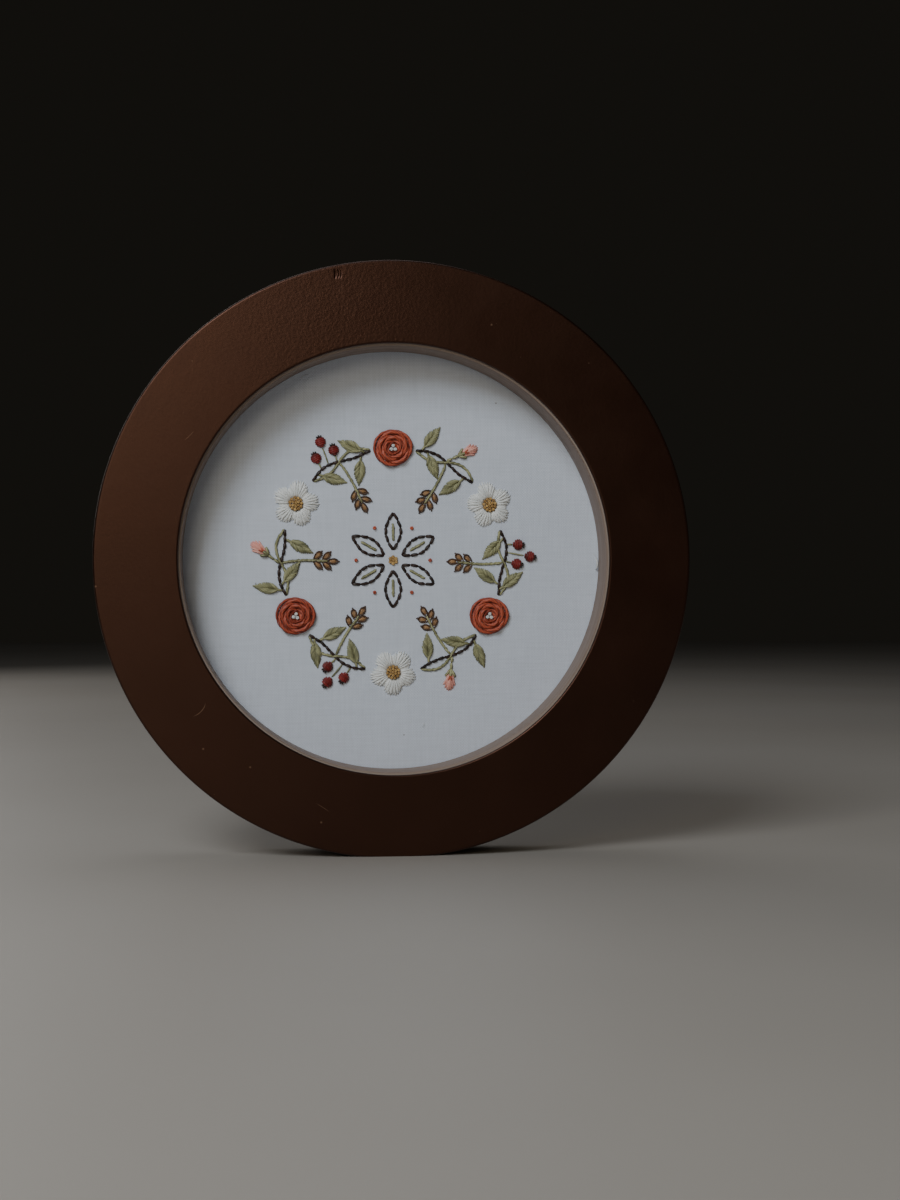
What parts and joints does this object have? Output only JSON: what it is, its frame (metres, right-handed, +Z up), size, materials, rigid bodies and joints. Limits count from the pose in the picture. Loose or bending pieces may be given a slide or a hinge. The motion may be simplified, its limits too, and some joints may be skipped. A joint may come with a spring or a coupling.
{
  "type": "hoop embroidery art in a round wooden frame",
  "caption": "Round painted wooden ring frame that stands on its edge, with stretched white cotton on a pale inner ring, embroidered with a floral wreath round a small rosette.",
  "frame": {"origin": "middle of the flat foot, under the middle of the frame depth", "axes": "+Z up, the front with the embroidery faces -Y, +X to the right seen from the front"},
  "size_m": [0.2132, 0.024, 0.2124],
  "materials": {
    "frame_paint": "dark chocolate brown satin paint on turned wood",
    "bare_wood": "pale bare wood, matt",
    "cotton": "fine plain-weave white cotton, matt",
    "brown_thread": "stranded cotton, very dark brown",
    "sage_thread": "stranded cotton, sage green",
    "coral_thread": "stranded cotton, coral",
    "white_thread": "stranded cotton, white",
    "gold_thread": "stranded cotton, old gold",
    "red_thread": "stranded cotton, dark red",
    "pink_thread": "stranded cotton, salmon pink"
  },
  "bodies": {
    "root": {"berry_1": "red_thread", "berry_2": "red_thread", "berry_3": "red_thread", "berry_4": "red_thread", "berry_5": "red_thread", "berry_6": "red_thread", "berry_7": "red_thread", "berry_8": "red_thread", "berry_9": "red_thread", "blossom_1": "white_thread", "blossom_2": "white_thread", "blossom_3": "white_thread", "blossom_centre_1": "gold_thread", "blossom_centre_2": "gold_thread", "blossom_centre_3": "gold_thread", "bud_1": "pink_thread", "bud_2": "pink_thread", "bud_3": "pink_thread", "cloth": "cotton", "frame_ring": "frame_paint", "inner_ring": "bare_wood", "leaf_1": "sage_thread", "leaf_10": "sage_thread", "leaf_11": "sage_thread", "leaf_12": "sage_thread", "leaf_13": "sage_thread", "leaf_14": "sage_thread", "leaf_15": "sage_thread", "leaf_16": "sage_thread", "leaf_17": "sage_thread", "leaf_18": "sage_thread", "leaf_2": "sage_thread", "leaf_3": "sage_thread", "leaf_4": "sage_thread", "leaf_5": "sage_thread", "leaf_6": "sage_thread", "leaf_7": "sage_thread", "leaf_8": "sage_thread", "leaf_9": "sage_thread", "rose_1": "coral_thread", "rose_2": "coral_thread", "rose_3": "coral_thread", "rosette_1": "brown_thread", "rosette_2": "brown_thread", "rosette_3": "brown_thread", "rosette_4": "brown_thread", "rosette_5": "brown_thread", "rosette_6": "brown_thread", "twig_1": "brown_thread", "twig_2": "brown_thread", "twig_3": "brown_thread", "twig_4": "brown_thread", "twig_5": "brown_thread", "twig_6": "brown_thread"}
  },
  "joints": []
}
